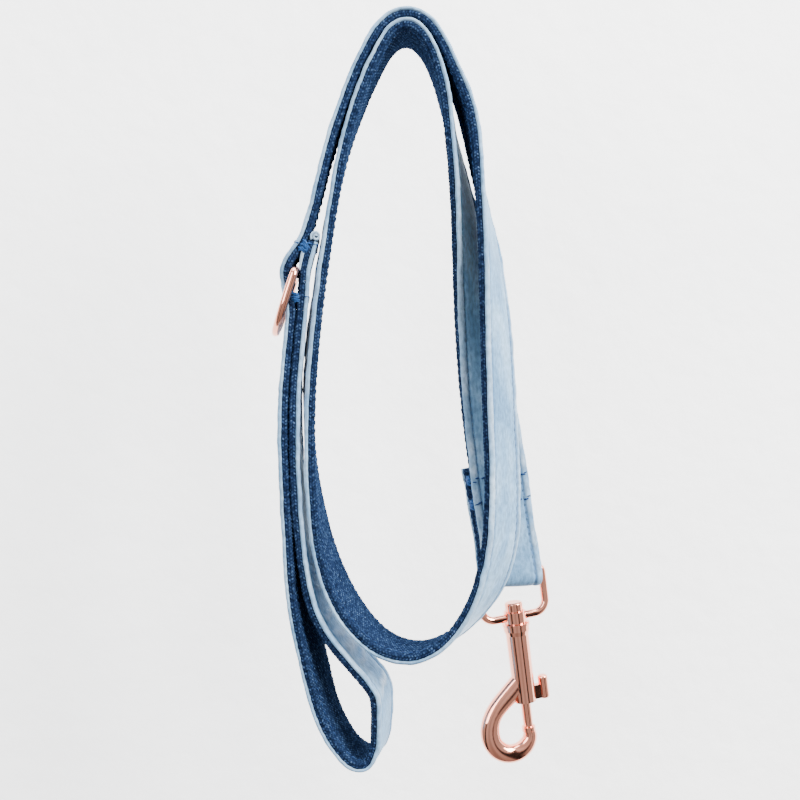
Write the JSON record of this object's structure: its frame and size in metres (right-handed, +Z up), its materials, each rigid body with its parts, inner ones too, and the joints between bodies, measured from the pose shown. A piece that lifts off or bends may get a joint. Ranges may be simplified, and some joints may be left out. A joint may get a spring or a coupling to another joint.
{
  "type": "velvet dog lead",
  "caption": "Velvet-faced webbing pet lead hung in a loop: sewn hand loop, D-ring in a stitched pocket, and a swivel bolt snap with a sprung thumb bolt.",
  "frame": {"origin": "the point the lead hangs from: the underside of the strap on its hook, in the middle of the strap's width", "axes": "+Z up, against gravity, along the hung lead's longest extent; +X to the right seen from the front; +Y away from the viewer, along the strap's width where it lies on the hook"},
  "size_m": [0.118, 0.0446, 0.3138],
  "materials": {
    "webbing": "woven, matt",
    "velvet": "short pile with a soft sheen",
    "thread": "twisted, satin",
    "rose_gold": "polished plate",
    "spring_steel": "drawn wire"
  },
  "bodies": {
    "lead": {"strap_webbing": "webbing", "velvet_facing": "velvet", "fold_stitches": "thread", "pocket_stitches": "thread"},
    "ring": {"d_ring": "rose_gold"},
    "eye": {"swivel_eye": "rose_gold"},
    "snap": {"swivel_rivet": "rose_gold", "swivel_washer": "rose_gold", "hook_body": "rose_gold", "bolt_spring": "spring_steel"},
    "bolt": {"bolt": "rose_gold", "thumb_knob": "rose_gold"}
  },
  "joints": [
    {"name": "ring_swing", "type": "hinge", "parent": "lead", "child": "ring", "pos_m": [-0.0469, 0, -0.0972], "axis": [-0.1045, 0.9945, 0], "range_deg": [0, 140]},
    {"name": "eye_swing", "type": "hinge", "parent": "lead", "child": "eye", "pos_m": [0.0435, 0.0178, -0.2232], "axis": [0.9571, 0.259, 0.1295], "range_deg": [-3, 80]},
    {"name": "snap_spin", "type": "hinge", "parent": "eye", "child": "snap", "pos_m": [0.04594, 0.01846, -0.24254], "axis": [0.125, 0.0338, -0.9916], "continuous": true},
    {"name": "bolt_slide", "type": "slide", "parent": "snap", "child": "bolt", "axis": [-0.125, -0.0338, 0.9916], "range_m": [0, 0.009], "stiffness_N_per_m": 300, "springref_m": -0.004, "deforming": ["bolt_spring"]}
  ]
}
